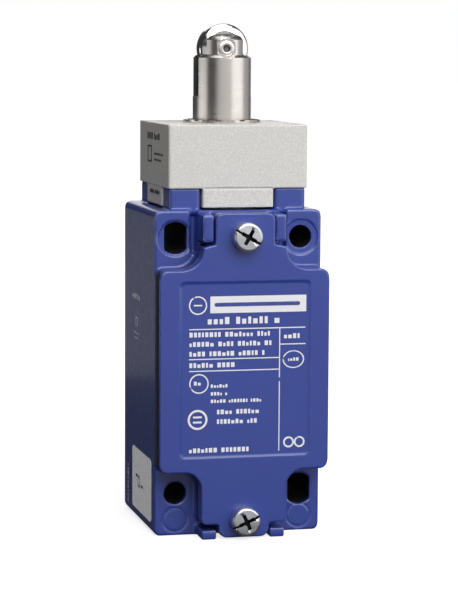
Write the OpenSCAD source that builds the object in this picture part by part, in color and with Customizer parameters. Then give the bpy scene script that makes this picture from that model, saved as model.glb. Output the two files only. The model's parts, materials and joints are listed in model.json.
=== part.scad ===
// Limit switch with a steel roller plunger head, for four-hole fixing at 30 x 60 mm.
// Origin: centre of the fixing pattern, on the back mounting face.
// +X is right, -Y is the front (cover side), +Z points to the roller. Millimetres.

/* [Fixing] */
// Distance between the fixing holes across the body
fix_w = 30; // [29:0.5:31]
// Distance between the fixing holes along the body
fix_h = 60; // [59:0.5:61]
// Diameter of the round fixing holes
fix_d = 5.3; // [5:0.1:5.5]
// Length of the two elongated fixing holes
slot_l = 7.4; // [6.5:0.1:7.5]

/* [Body] */
// Width of the body
body_w = 40; // [40:0.5:41]
// Top of the body above the pattern centre
body_top = 36.4; // [36:0.1:37]
// Bottom of the body below the pattern centre
body_low = 40.1; // [40:0.1:41]
// Depth of the body at its four ears
ear_depth = 36.8; // [36:0.1:37.5]
// Thickness of the back wall
back_wall = 3.2; // [2.8:0.1:3.4]

/* [Cover] */
// Overall depth from the mounting face to the front of the cover
front_depth = 44; // [43.5:0.1:44.5]
// Width of the cover
cover_w = 40.4; // [40.2:0.1:41]
// Thickness of the cover's rim
cover_t = 4; // [3.8:0.1:4.4]
// Thickness of the cover gasket
gasket_t = 2; // [1.6:0.1:2]

/* [Head] */
// Width of the head across the body
head_w = 33.2; // [33:0.1:34]
// Depth of the head from front to back
head_d = 34.2; // [34:0.1:34.4]
// Top of the head above the pattern centre
head_top = 56.2; // [56:0.1:56.6]
// Distance from the mounting face to the plunger axis
axis_depth = 19.2; // [19:0.1:19.4]

/* [Roller plunger] */
// Diameter of the plunger barrel
barrel_d = 14; // [13.8:0.1:14]
// Diameter of the roller
roller_d = 12; // [11.5:0.1:12.4]
// Width of the roller
roller_w = 5; // [4.6:0.1:5.2]
// Height of the roller's axle above the pattern centre
axle_z = 73.75; // [73.5:0.05:74]
// Travel of the plunger
travel = 5.5; // [4:0.1:5.5]

/* [Cable entry] */
// Wall diameter of the cable entry, the core of an M20 thread
entry_d = 18.5; // [18.4:0.05:18.7]
// Distance from the mounting face to the entry axis
entry_depth = 16; // [15.5:0.1:16.5]

/* [Hidden] */
$fn = 64;

eps = 0.05;                                // overshoot of cutting tools
snug = 0.05;                               // room between parts that slide or seat
axis_y = -axis_depth;                      // plunger axis, front of the mounting face
entry_y = -entry_depth;                    // cable entry axis
entry_top = -27.5;                         // inner end of the cable entry
lead_in = 0.95;                            // chamfer at the mouth of the cable entry
ear_y = -ear_depth;                        // front plane of the ears
front_y = -front_depth;                    // front plane of the cover
cover_back_y = front_y + cover_t;          // back plane of the cover
rim_y = cover_back_y + gasket_t;           // front plane of the body's rim
barrel_r = barrel_d / 2;
roller_r = roller_d / 2;

// Cover outline
cover_hi = 23.1;                           // top of the wide part
cover_lo = -24.1;                          // bottom of the wide part
neck_half = 7.1;                           // half width of the upper neck
shoulder_half = 9.9;                       // half width of the shoulder under the lugs
shoulder_top = 28.8;
upper_scoop_r = 5.3;                       // scoop that clears an upper fixing screw
lower_scoop_r = 4;
waist_half = 10.2;                         // half width between the lower fixing screws
waist_low = -36.5;
lobe_half = 6;
lobe_low = -39.7;
upper_screw_z = 30.8;
lower_screw_z = -35.6;

plate_t = 2;                               // front plate of the cover
lip_t = 1.4;                               // lip along the two long sides of the cover
lip_over = 0.7;
rim_in = 0.2;                              // inset of the gasket and the rim from the cover's outline
panel_depth = 0.25;                        // shallow panel on it
panel = [[-15.4, -20.6], [15.6, 20.4]];
captive_r = 2.2;                           // holes of the cover for its screws
cover_head_r = 3.4;                        // heads of the cover screws
cover_head_h = [3.3, 3];                   // height of the upper and the lower head
cover_shank_r = 1.6;
tapped_r = 1.65;                           // tapped holes, at the screws' outer radius

// Opening of the body behind the cover
cavity = [[-17.2, -20.5], [17.2, 19.5]];
cavity_r = 1.5;
upper_bay = [6.9, 26.6];                   // half width and top of the bay under the upper screw
lower_bay = 7.4;                           // half width of the bay over the cable entry

// Lugs of the body that hold the cover's neck and lobe sideways
lug_y = -43.3;
upper_lug = [7.3, 9.9, 29.4, 35.8];        // inner x, outer x, low z, high z
groove_x = 10.7;                           // grooves in the ears beside the upper lugs
groove_r = 0.85;
groove_depth = 2;
groove_low = 26.4;
lower_lug = [6.4, 9.9, -body_low, -37.9];

// Turret
tower_in = 8.9;                            // inner faces of the four towers
tower_x = 16.3;
tower_y = 16.6;
tower_top = 41.4;                          // the head stands on the towers
skirt_half = 8.5;                          // half width of the head's cross-shaped skirt
skirt_low = 36.95;
head_low = tower_top;
spigot_r = 12;
spigot_low = 33.7;
hub_r = spigot_r + 0.2;
hub_low = 33.4;
head_screw_x = 12.6;
head_screw_y = 12.6;
head_screw_low = 34.9;
head_screw_sink = 3.6;                     // depth of the recess for a screw head
spot_r = 4;                                // spot faces round the two upper fixing holes

// Plunger and its guide
bush_r = 8.6;
bush = [46, 53.6];
chamber_r = 9.2;
seal_seat_r = 9;
shoulder_z = 72.2;                         // shoulder of the barrel below the nose
nose_r = 5.2;
nose_top = 77.3;
roller_slot = 5.6;
roller_slot_z = 62.4;
pin_r = 2;
pin_half = 4.75;
barrel_low = 44.4;
pocket_r = 5.4;
pocket_top = 56;
rod_r = 2.2;
seat_z = [hub_low, hub_low + 1.2];
rod_low = 21.5;
seal_z = [31.4, 33];                       // seal of the transfer rod

// Contact block
block = [15, -14, 15];                     // half width, low z, high z
block_y = [-33, -5];
chamber = [8, -11, 12];
chamber_back = -12;
bay_in = 9.2;
bay_back = -26;
terminal_x = 11.6;
upper_terminal_z = 10.2;
lower_terminal_z = -6.6;
bridge_half = 8 - 0.6;                     // half length of a contact bridge
tip_x = 6.3;
closed_z = 7;                              // underside of the normally closed bridge
open_z = 2.4;                              // underside of the normally open bridge
sheet = 0.6;                               // thickness of the bridges
tip_h = 0.5;
bridge_ratio = 0.4;                        // carrier travel per plunger travel
contact_stem_r = 1.8;
contact_top = 21.4;
collar_z = 13.6;                           // underside of the contact plunger's collar
carrier_z = [open_z - 1, closed_z + sheet + 1];
closed_fixed_z = closed_z + sheet + tip_h + 0.04;
open_fixed_z = open_z - tip_h - travel * bridge_ratio - 0.04;
contact_leg = [5, 7.9];                    // inner and outer x of a fixed contact's leg
contact_pad = [7, 14.6, 2.4];              // inner and outer x and half height of its terminal
contact_t = 0.8;
block_screw_x = 11.8;
block_screw_z = 1.75;
block_screw_end = -1.6;                    // tips of the block screws, inside the back wall
block_screw_r = 1.55;
block_pad_r = 3.1;
earth = [12.2, -17.3];                     // earth screw, x and z
earth_pad_y = -14;
earth_pad_r = 2.9;

// ---------- helpers ----------

// A profile drawn in X and Z, as a prism from plane y_front back by depth.
module frontwise(y_front, depth)
    translate([0, y_front + depth, 0]) rotate([90, 0, 0]) linear_extrude(depth) children();

// A cylinder along Y from y_front back to y_back.
module bore_y(r, y_front, y_back, x = 0, z = 0)
    translate([x, y_back, z]) rotate([90, 0, 0]) cylinder(r = r, h = y_back - y_front);

// A cylinder along Z between two heights, on an axis at y.
module post(r, z_low, z_high, y = axis_y, x = 0)
    translate([x, y, z_low]) cylinder(r = r, h = z_high - z_low);

module ring(r_out, r_in, z_low, z_high, y = axis_y, x = 0)
    difference() {
        post(r_out, z_low, z_high, y, x);
        post(r_in, z_low - eps, z_high + eps, y, x);
    }

// A box from its low corner to its high corner.
module box(low, high)
    translate(low) cube(high - low);

// A rectangle from low to high with round corners.
module rounded(low, high, r) {
    translate([low[0] + r, low[1]]) square([high[0] - low[0] - 2 * r, high[1] - low[1]]);
    translate([low[0], low[1] + r]) square([high[0] - low[0], high[1] - low[1] - 2 * r]);
    for (x = [low[0] + r, high[0] - r], y = [low[1] + r, high[1] - r])
        translate([x, y]) circle(r = r);
}

module both_sides() {
    children();
    mirror([1, 0, 0]) children();
}

// A helical spring of round wire with flat-lying end turns, along Z.
module spring(mean_r, wire_r, z_low, z_high, turns) {
    sides = 8;
    steps = 16;
    rings = turns * steps;
    low = z_low + wire_r;
    high = z_high - wire_r;
    function height(t) = t < 1 ? 0.5 * t * t * 2 * wire_r
        : t > turns - 1 ? (high - low) - (turns - t) * (turns - t) * wire_r
        : wire_r + (t - 1) * (high - low - 2 * wire_r) / (turns - 2);
    points = [for (i = [0 : rings], k = [0 : sides - 1])
        let (t = i / steps, a = 360 * t, b = 360 * k / sides, r = mean_r + wire_r * cos(b))
        [r * cos(a), r * sin(a), low + height(t) + wire_r * sin(b)]];
    walls = [for (i = [0 : rings - 1], k = [0 : sides - 1])
        let (a = i * sides + k, b = i * sides + (k + 1) % sides)
        each [[a, a + sides, b], [b, a + sides, b + sides]]];
    caps = [[for (k = [0 : sides - 1]) k], [for (k = [0 : sides - 1]) rings * sides + sides - 1 - k]];
    translate([0, axis_y, 0]) polyhedron(points, concat(walls, caps));
}

// A screw along Y: head with a cross recess, and a plain shank behind it.
module screw_y(x, z, head_r, head_y, seat_y, shank_r, tip_y, cross = 1.2, turn = 0)
    difference() {
        union() {
            bore_y(head_r, head_y, seat_y, x, z);
            bore_y(shank_r, seat_y - eps, tip_y, x, z);
        }
        translate([x, head_y + 0.65, z]) rotate([0, turn, 0]) {
            cube([2 * head_r * 0.62, 1.4, cross * 0.7], center = true);
            cube([cross * 0.7, 1.4, 2 * head_r * 0.62], center = true);
        }
    }

// ---------- outlines, drawn in X and Z ----------

// The flare between a neck and the wide part of the cover, scooped out round the fixing screws.
module flare(scoop_x, scoop_z, r, edge_z)
    difference() {
        translate([-scoop_x, min(scoop_z, edge_z)])
            square([2 * scoop_x, abs(scoop_z - edge_z)]);
        both_sides() translate([scoop_x, scoop_z]) circle(r = r);
    }

module cover_outline(in = 0) {
    half = cover_w / 2 - in;
    upper_x = shoulder_half + upper_scoop_r;
    lower_x = waist_half + lower_scoop_r;
    upper_z = cover_hi + upper_scoop_r;
    lower_z = cover_lo - lower_scoop_r;
    rounded([-half, cover_lo + in], [half, cover_hi - in], 2);
    rounded([-neck_half + in, 10], [neck_half - in, body_top - 0.2 - in], 1.6);
    rounded([-shoulder_half + in, 10], [shoulder_half - in, shoulder_top - in], 1.8);
    rounded([-waist_half + in, waist_low + in], [waist_half - in, -10], 1.3);
    rounded([-lobe_half + in, lobe_low + in], [lobe_half - in, -30], 2);
    flare(upper_x, upper_z, upper_scoop_r + in, cover_hi - in - 1);
    flare(lower_x, lower_z, lower_scoop_r + in, cover_lo + in + 1);
}

// Opening of the body behind the cover.
module cavity_outline(in = 0) {
    rounded(cavity[0] + [in, in], cavity[1] - [in, in], cavity_r);
    rounded([-upper_bay[0] + in, 10], [upper_bay[0] - in, upper_bay[1] - in], cavity_r);
    rounded([-lower_bay + in, entry_top + in], [lower_bay - in, -10], cavity_r);
}

// An elongated fixing hole, long in Z: a round hole with flat sides.
module fixing_slot()
    intersection() {
        circle(d = slot_l);
        square([fix_d, slot_l + 1], center = true);
    }

// ---------- casing ----------

module towers()
    for (sx = [-1, 1], sy = [-1, 1])
        translate([0, axis_y, body_top - 1]) scale([sx, sy, 1])
            linear_extrude(tower_top - body_top + 1)
                rounded([tower_in, tower_in], [tower_x, tower_y], 0.8);

module lugs()
    both_sides() {
        box([upper_lug[0], lug_y, upper_lug[2]], [upper_lug[1], ear_y + 1, upper_lug[3]]);
        box([lower_lug[0], lug_y, lower_lug[2]], [lower_lug[1], ear_y + 1, lower_lug[3]]);
    }

module lug_grooves()
    both_sides() {
        bed_y = ear_y + groove_depth - groove_r;
        box([groove_x - groove_r, ear_y - 1, groove_low], [groove_x + groove_r, bed_y, body_top + 1]);
        post(groove_r, groove_low, body_top + 1, bed_y, groove_x);
    }

// Tapped hole of a cover screw, open at the rim.
module cover_screw_hole(z)
    bore_y(tapped_r, rim_y - 1, rim_y + 9, 0, z);

module fixing_holes() {
    for (s = [-1, 1]) {
        bore_y(fix_d / 2, ear_y - 3, eps, s * fix_w / 2, s * fix_h / 2);
        translate([-s * fix_w / 2, 0, s * fix_h / 2])
            frontwise(ear_y - 3, ear_depth + 3 + eps) fixing_slot();
        // Spot faces of the two upper holes
        bore_y(spot_r, ear_y - 3, ear_y + 0.4, s * fix_w / 2, fix_h / 2);
    }
}

// The die casting without its inner pads.
module casting()
    difference() {
        union() {
            difference() {
                frontwise(ear_y, ear_depth)
                    rounded([-body_w / 2, -body_low], [body_w / 2, body_top], 1.4);
                lug_grooves();
            }
            frontwise(rim_y, ear_y - rim_y + groove_depth + 1) cover_outline(rim_in);
            lugs();
            towers();
        }
        frontwise(rim_y - 1, -back_wall - rim_y + 1) cavity_outline();
        fixing_holes();
        cover_screw_hole(upper_screw_z);
        cover_screw_hole(lower_screw_z);
        // Cable entry with a lead-in
        post(entry_d / 2, -body_low - 1, entry_top + eps, entry_y);
        translate([0, entry_y, -body_low - eps])
            cylinder(r1 = entry_d / 2 + lead_in, r2 = entry_d / 2, h = lead_in);
        // Hub recess of the turret, and the way down to the contact block
        post(hub_r, hub_low, body_top + 10);
        post(7, seal_z[0] - 0.1, hub_low + 1);
        post(rod_r + 0.5, 26, hub_low);
        for (sx = [-1, 1], sy = [-1, 1])
            post(1.45, head_screw_low - 0.4, tower_top + 1, axis_y + sy * head_screw_y, sx * head_screw_x);
    }

// The casting with the pads that the contact block and the earth clamp stand on.
module body_housing()
    color("royalblue") difference() {
        union() {
            casting();
            for (s = [-1, 1])
                bore_y(block_pad_r, block_y[1] + 0.02, -back_wall + 0.5, s * block_screw_x, block_screw_z);
            bore_y(earth_pad_r, earth_pad_y, -back_wall + 0.5, earth[0], earth[1]);
        }
        for (s = [-1, 1])
            bore_y(tapped_r, block_y[1] - 1, block_screw_end + 0.4, s * block_screw_x, block_screw_z);
        bore_y(tapped_r, earth_pad_y - 1, -5, earth[0], earth[1]);
    }

module cover()
    color("mediumblue") difference() {
        frontwise(front_y, cover_t) cover_outline();
        // The long sides are set back behind the lip
        both_sides() box([cover_w / 2 - lip_over, front_y + lip_t, cover_lo - 5],
            [cover_w / 2 + 1, cover_back_y + 1, cover_hi + 5]);
        // Hollow behind the front plate, and the shallow panel for the rating plate
        frontwise(front_y + plate_t, cover_t) rounded(cavity[0], cavity[1], cavity_r);
        frontwise(front_y - 1, 1 + panel_depth) rounded(panel[0], panel[1], 1.2);
        for (z = [upper_screw_z, lower_screw_z])
            bore_y(captive_r, front_y - 1, cover_back_y + 1, 0, z);
    }

module cover_gasket()
    color("black") difference() {
        frontwise(cover_back_y, gasket_t) cover_outline(rim_in);
        frontwise(cover_back_y - 1, gasket_t + 2) cavity_outline(-0.3);
        for (z = [upper_screw_z, lower_screw_z])
            bore_y(3, cover_back_y - 1, rim_y + 1, 0, z);
    }

module cover_screws()
    color("silver") {
        screw_y(0, upper_screw_z, cover_head_r, front_y - cover_head_h[0], front_y,
            cover_shank_r, rim_y + 8, 1.4, 32);
        screw_y(0, lower_screw_z, cover_head_r, front_y - cover_head_h[1], front_y,
            cover_shank_r, rim_y + 8, 1.4, -22);
    }

module cover_screw_seals()
    color("dimgray") for (z = [upper_screw_z, lower_screw_z])
        difference() {
            bore_y(2.8, cover_back_y + 0.1, rim_y - 0.1, 0, z);
            bore_y(cover_shank_r, cover_back_y - 1, rim_y + 1, 0, z);
        }

module side_label()
    color("lightgray") translate([-body_w / 2 - 0.12, 0, 0]) rotate([90, 0, 90])
        linear_extrude(0.12) rounded([-33.4, -37.5], [-11, -22.6], 1);

// ---------- head ----------

module head_profile(half_x, half_y, r)
    translate([0, axis_y]) rounded([-half_x, -half_y], [half_x, half_y], r);

module head_housing()
    color("lightgray") difference() {
        union() {
            translate([0, 0, head_low]) linear_extrude(head_top - head_low)
                head_profile(head_w / 2, head_d / 2, 0.5);
            translate([0, 0, skirt_low]) linear_extrude(head_low - skirt_low + 1) {
                head_profile(skirt_half, head_d / 2 - 0.1, 0.4);
                head_profile(head_w / 2 - 0.1, skirt_half, 0.4);
            }
            post(spigot_r, spigot_low, skirt_low + 1);
        }
        post(seal_seat_r, bush[1], head_top + 1);
        post(bush_r, bush[0] - 1, bush[1] + 1);
        post(chamber_r, spigot_low - 1, bush[0]);
        for (sx = [-1, 1], sy = [-1, 1]) {
            post(2, head_low - 1, head_top + 1, axis_y + sy * head_screw_y, sx * head_screw_x);
            post(3.3, head_top - head_screw_sink, head_top + 1,
                axis_y + sy * head_screw_y, sx * head_screw_x);
        }
    }

module head_gasket()
    color("black") ring(hub_r - 0.3, 9.4, hub_low + 0.02, spigot_low - 0.02);

module head_screws()
    color("silver") for (sx = [-1, 1], sy = [-1, 1])
        translate([sx * head_screw_x, axis_y + sy * head_screw_y, 0]) difference() {
            union() {
                post(3, head_top - head_screw_sink, head_top - 0.9, 0);
                post(1.4, head_screw_low, head_top - head_screw_sink + 0.1, 0);
            }
            translate([0, 0, head_top - 1.4]) {
                cube([3.4, 0.8, 1.2], center = true);
                cube([0.8, 3.4, 1.2], center = true);
            }
        }

module wiper_retainer()
    color("gainsboro") difference() {
        union() {
            ring(9.3, 7.9, head_top, head_top + 0.4);
            ring(9.3, 8.9, head_top, head_top + 0.75);
        }
        for (a = [0 : 36 : 324])
            translate([0, axis_y, head_top + 1.1]) rotate([0, 0, a])
                translate([9.1, 0, 0]) cube([1.2, 1.4, 1.2], center = true);
    }

module wiper_seal()
    color("black") translate([0, axis_y, 0]) rotate_extrude()
        polygon([[barrel_r + 0.06, bush[1] + 0.1], [seal_seat_r - snug, bush[1] + 0.1],
            [seal_seat_r - snug, head_top - snug], [7.7, head_top - snug], [7.5, head_top + 0.5],
            [barrel_r + 0.06, head_top + 0.7]]);

module guide_bush()
    color("peru") ring(bush_r, barrel_r + 0.04, bush[0], bush[1]);

// ---------- moving parts of the head ----------

module nose_profile()
    polygon([[0, shoulder_z - 1], [nose_r, shoulder_z - 1], [nose_r, nose_top - 1.5],
        [nose_r - 0.5, nose_top - 0.7], [nose_r - 1.7, nose_top], [0, nose_top]]);

module roller_plunger()
    color("silver") difference() {
        union() {
            post(barrel_r, barrel_low, shoulder_z - 0.6);
            translate([0, axis_y, shoulder_z - 0.6])
                cylinder(r1 = barrel_r, r2 = barrel_r - 0.6, h = 0.6);
            translate([0, axis_y, 0]) rotate_extrude() nose_profile();
        }
        box([-8, axis_y - roller_slot / 2, roller_slot_z], [8, axis_y + roller_slot / 2, nose_top + 1]);
        post(pocket_r, barrel_low - 1, pocket_top);
        bore_y(pin_r, axis_y - 8, axis_y + 8, 0, axle_z);
        // Spot faces around the pin ends
        for (s = [-1, 1]) translate([0, axis_y + s * (pin_half + 1.95), axle_z])
            rotate([90, 0, 0]) cylinder(r = 2.4, h = 4, center = true);
        // Groove of the stop ring
        ring(barrel_r + 1, barrel_r - 0.6, 44.8, 45.9);
    }

module roller()
    color("gainsboro") translate([0, axis_y, axle_z]) rotate([90, 0, 0]) rotate_extrude()
        polygon([[pin_r + 0.06, -roller_w / 2], [roller_r - 0.6, -roller_w / 2],
            [roller_r, -roller_w / 2 + 0.6], [roller_r, roller_w / 2 - 0.6],
            [roller_r - 0.6, roller_w / 2], [pin_r + 0.06, roller_w / 2]]);

module roller_pin()
    color("silver") difference() {
        bore_y(pin_r, axis_y - pin_half - 0.1, axis_y + pin_half + 0.1, 0, axle_z);
        for (s = [-1, 1]) translate([0, axis_y + s * (pin_half + 0.1), axle_z])
            rotate([-90 * s, 0, 0]) translate([0, 0, -0.5]) cylinder(r1 = 0.2, r2 = 0.9, h = 0.55);
    }

module stop_ring()
    color("dimgray") ring(8.3, barrel_r - 0.55, 44.85, 45.85);

module plunger_spring()
    color("darkgray") spring(4.3, 0.5, seat_z[1] + 0.02, pocket_top - 0.02, 9);

module spring_seat()
    color("silver") ring(chamber_r - 0.02, rod_r + 0.1, seat_z[0], seat_z[1]);

module transfer_rod()
    color("ivory") {
        post(rod_r, rod_low, pocket_top - snug);
        post(3.4, rod_low, rod_low + 1.6);
    }

module rod_seal()
    color("black") ring(6.95, rod_r + 0.06, seal_z[0], seal_z[1]);

// ---------- contact block ----------

module terminals(upper = true, lower = true)
    for (s = [-1, 1]) {
        if (upper) translate([s * terminal_x, 0, upper_terminal_z]) children();
        if (lower) translate([s * terminal_x, 0, lower_terminal_z]) children();
    }

module bay_cut(z_low, z_high)
    both_sides() {
        box([bay_in, block_y[0] - 1, z_low], [block[0] + 1, bay_back, z_high]);
        box([chamber[0] - 1, block_y[0] - 1, z_low + 1.5], [bay_in + 1, bay_back, z_high - 1.5]);
    }

module contact_block_base()
    color("dimgray") difference() {
        frontwise(block_y[0], block_y[1] - block_y[0])
            rounded([-block[0], block[1]], [block[0], block[2]], 0.8);
        box([-chamber[0], block_y[0] - 1, chamber[1]], [chamber[0], chamber_back, chamber[2]]);
        bay_cut(5.4, 15);
        bay_cut(block[1] - 1, -1.8);
        // Guides of the contact plunger
        post(2.75, chamber[2] - 1, block[2] + 1);
        post(contact_stem_r + snug, block[1] - 1, chamber[1] + 1);
        terminals() bore_y(1.7, bay_back - 1, -21, 0, 0);
        for (s = [-1, 1]) {
            bore_y(1.8, block_y[0] - 1, block_y[1] + 1, s * block_screw_x, block_screw_z);
            bore_y(2.95, block_y[0] - 1, block_y[0] + 4, s * block_screw_x, block_screw_z);
        }
    }

module contact_block_cover()
    color("whitesmoke") box([-chamber[0] + 0.15, block_y[0] + 0.1, chamber[1] + 0.15],
        [chamber[0] - 0.15, block_y[0] + 1.6, chamber[2] - 0.15]);

module contact_plunger()
    color("gold") {
        post(contact_stem_r, chamber[1] - 0.5, contact_top - 1);
        post(2.65, collar_z, contact_top);
    }

module contact_return_spring()
    color("darkgray") spring(2.7, 0.25, chamber[1] + 0.02, carrier_z[0] - 0.02, 6);

module overtravel_spring()
    color("darkgray") spring(2.3, 0.18, carrier_z[1] + 0.02, collar_z - 0.02, 3);

module bridge_outline()
    difference() {
        union() {
            translate([-bridge_half, axis_y - 1.5]) square([2 * bridge_half, 3]);
            translate([-3.4, axis_y - 3]) square([6.8, 6]);
        }
        translate([0, axis_y]) circle(r = contact_stem_r + 0.25);
    }

module bridge(z)
    translate([0, 0, z]) linear_extrude(sheet) bridge_outline();

module bridge_carrier()
    color("firebrick") difference() {
        box([-4, axis_y - 4, carrier_z[0]], [4, axis_y + 4, carrier_z[1]]);
        post(contact_stem_r + 0.25, carrier_z[0] - 1, carrier_z[1] + 1);
        bridge_way(closed_z);
        bridge_way(open_z);
    }

// Slot of the carrier in which a bridge lies.
module bridge_way(z)
    box([-5, axis_y - 3.05, z - 0.03], [5, axis_y + 3.05, z + sheet + 0.03]);

module closed_bridge()
    color("goldenrod") bridge(closed_z);

module open_bridge()
    color("goldenrod") bridge(open_z);

module bridge_tips()
    color("silver") for (s = [-1, 1]) {
        post(1, closed_z + sheet, closed_z + sheet + tip_h, axis_y, s * tip_x);
        post(1, open_z - tip_h, open_z, axis_y, s * tip_x);
    }

module fixed_tips()
    color("silver") for (s = [-1, 1]) {
        post(1, closed_fixed_z, closed_fixed_z + tip_h, axis_y, s * tip_x);
        post(1, open_fixed_z - tip_h, open_fixed_z, axis_y, s * tip_x);
    }

// One fixed contact: a leg into the chamber and a plate at the terminal.
module fixed_contact(leg_z, terminal_z)
    difference() {
        union() {
            box([contact_leg[0], bay_back - 1, leg_z], [contact_leg[1], axis_y + 1.7, leg_z + contact_t]);
            box([contact_leg[0], bay_back - 1, min(leg_z, terminal_z - 1)],
                [contact_leg[1], bay_back, max(leg_z + contact_t, terminal_z + 1)]);
            box([contact_pad[0], bay_back - 1, terminal_z - contact_pad[2]],
                [contact_pad[1], bay_back, terminal_z + contact_pad[2]]);
        }
        bore_y(1.75, bay_back - 2, bay_back + 1, terminal_x, terminal_z);
    }

module fixed_contacts()
    color("goldenrod") both_sides() {
        fixed_contact(closed_fixed_z + tip_h, upper_terminal_z);
        fixed_contact(open_fixed_z - tip_h - contact_t, lower_terminal_z);
    }

module terminal_clamps()
    color("khaki") terminals() difference() {
        box([-2.3, -28.8, -2.9], [2.9, -27.6, 2.9]);
        bore_y(1.75, -30, -26, 0, 0);
    }

module terminal_screws()
    color("gainsboro") terminals() screw_y(0, 0, 2.7, -31.2, -28.85, 1.6, -22, 1.1, 20);

module contact_block_screws()
    color("silver") for (s = [-1, 1])
        screw_y(s * block_screw_x, block_screw_z, 2.8, -31.6, -29.05,
            block_screw_r, block_screw_end, 1.1, 10);

module earth_clamp()
    color("khaki") difference() {
        box([earth[0] - 2.8, earth_pad_y - 1.4, earth[1] - 2.8],
            [earth[0] + 2.8, earth_pad_y - 0.05, earth[1] + 2.8]);
        bore_y(1.75, -17, -13, earth[0], earth[1]);
    }

module earth_screw()
    color("yellowgreen") screw_y(earth[0], earth[1], 2.7, earth_pad_y - 3.8, earth_pad_y - 1.45,
        block_screw_r, -5.4, 1.1, 35);

// ---------- nodes ----------

body_housing();
cover();
cover_gasket();
cover_screws();
cover_screw_seals();
head_housing();
head_gasket();
head_screws();
wiper_retainer();
wiper_seal();
guide_bush();
roller_plunger();
roller();
roller_pin();
stop_ring();
plunger_spring();
spring_seat();
transfer_rod();
rod_seal();
contact_block_base();
contact_block_cover();
contact_plunger();
contact_return_spring();
overtravel_spring();
bridge_carrier();
closed_bridge();
open_bridge();
bridge_tips();
fixed_contacts();
fixed_tips();
terminal_clamps();
terminal_screws();
contact_block_screws();
earth_clamp();
earth_screw();
side_label();
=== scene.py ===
import json
import math
import random

import bmesh
import bpy
import numpy as np
from mathutils import Matrix, Vector, noise


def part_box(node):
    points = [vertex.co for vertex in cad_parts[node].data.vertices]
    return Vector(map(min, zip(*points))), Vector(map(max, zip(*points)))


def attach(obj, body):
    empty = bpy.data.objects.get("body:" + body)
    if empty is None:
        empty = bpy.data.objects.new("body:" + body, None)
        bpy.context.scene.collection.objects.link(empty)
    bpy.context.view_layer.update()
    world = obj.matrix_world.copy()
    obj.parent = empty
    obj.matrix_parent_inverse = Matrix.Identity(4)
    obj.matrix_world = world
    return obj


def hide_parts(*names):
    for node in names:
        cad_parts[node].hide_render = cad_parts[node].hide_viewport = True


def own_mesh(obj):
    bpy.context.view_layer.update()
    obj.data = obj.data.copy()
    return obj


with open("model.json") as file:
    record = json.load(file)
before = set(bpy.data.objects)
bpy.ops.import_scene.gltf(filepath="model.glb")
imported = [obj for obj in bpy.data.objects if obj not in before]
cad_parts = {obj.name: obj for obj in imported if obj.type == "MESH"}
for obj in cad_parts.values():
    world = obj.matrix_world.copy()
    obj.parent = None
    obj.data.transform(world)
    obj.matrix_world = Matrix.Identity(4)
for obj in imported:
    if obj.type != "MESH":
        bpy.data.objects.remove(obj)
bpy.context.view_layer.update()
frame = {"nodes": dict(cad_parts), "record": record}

MM = 0.001


def mm(*values):
    """A point given in millimetres, in metres."""
    return Vector(values) * MM


# ---------- places, all from the frame ----------

def low(node):
    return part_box(node)[0] / MM


def high(node):
    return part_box(node)[1] / MM


def centre(node):
    return (low(node) + high(node)) / 2


AXIS_Y = centre("roller_plunger").y                  # plunger axis
AXLE_Z = centre("roller").z
BODY_SIDE = low("body_housing").x
BODY_LOW = low("body_housing").z
FRONT_Y = low("cover").y                             # front plane of the cover
TOWER_TOP = high("body_housing").z
HEAD_TOP = high("head_housing").z
COVER_SCREW_R = 3.4                                  # radius of a cover screw's head
SCREW_Z = [low("cover_screws").z + COVER_SCREW_R, high("cover_screws").z - COVER_SCREW_R]
HEAD_SCREW_AT = 12.6                                 # head screws from the plunger axis, in X and in Y
PANEL_Y = FRONT_Y + 0.25                             # floor of the cover's shallow panel
BODY_TOP = 36.4                                      # top of the casing between its towers
EAR_Y = -36.8                                        # front face of the ears
EJECTOR_Z = -36.3                                    # ejector marks on the lower ears
FIXING = [(15, 30), (-15, 30), (15, -30), (-15, -30)]     # through holes, X and Z
ENTRY_Y = -16.0                                      # axis of the cable entry
MOUNTS = {m["name"]: m for m in frame["record"]["mounts"]}
ENTRY_R = MOUNTS["cable_entry"]["dims"]["r_mm"]


# ---------- camera, lights and floor ----------

CAMERA_AT = (-126.11, -552.09, 74.08)
CAMERA_TURN = (13.52, -6.41, 0.33)                   # yaw, pitch and roll in degrees
CAMERA_LENS = 135.3
STUDIO_R = 7                                         # floor and dome, in metres
PAPER_REACH = 0.3                                    # where the paper turns full white, in metres
WORLD_GREY = (0.045, 0.045, 0.05, 1)


def make_camera():
    yaw, pitch, roll = (math.radians(a) for a in CAMERA_TURN)
    forward = Vector((math.sin(yaw) * math.cos(pitch), math.cos(yaw) * math.cos(pitch), math.sin(pitch)))
    level = Vector((math.cos(yaw), -math.sin(yaw), 0))
    upright = level.cross(forward)
    right = level * math.cos(roll) + upright * math.sin(roll)
    up = upright * math.cos(roll) - level * math.sin(roll)
    data = bpy.data.cameras.new("camera")
    data.lens = CAMERA_LENS
    data.sensor_width = 36
    data.clip_start = 0.01
    camera = bpy.data.objects.new("camera", data)
    bpy.context.scene.collection.objects.link(camera)
    turn = Matrix((right, up, -forward)).transposed().to_4x4()
    camera.matrix_world = Matrix.Translation(mm(*CAMERA_AT)) @ turn
    bpy.context.scene.camera = camera


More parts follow.
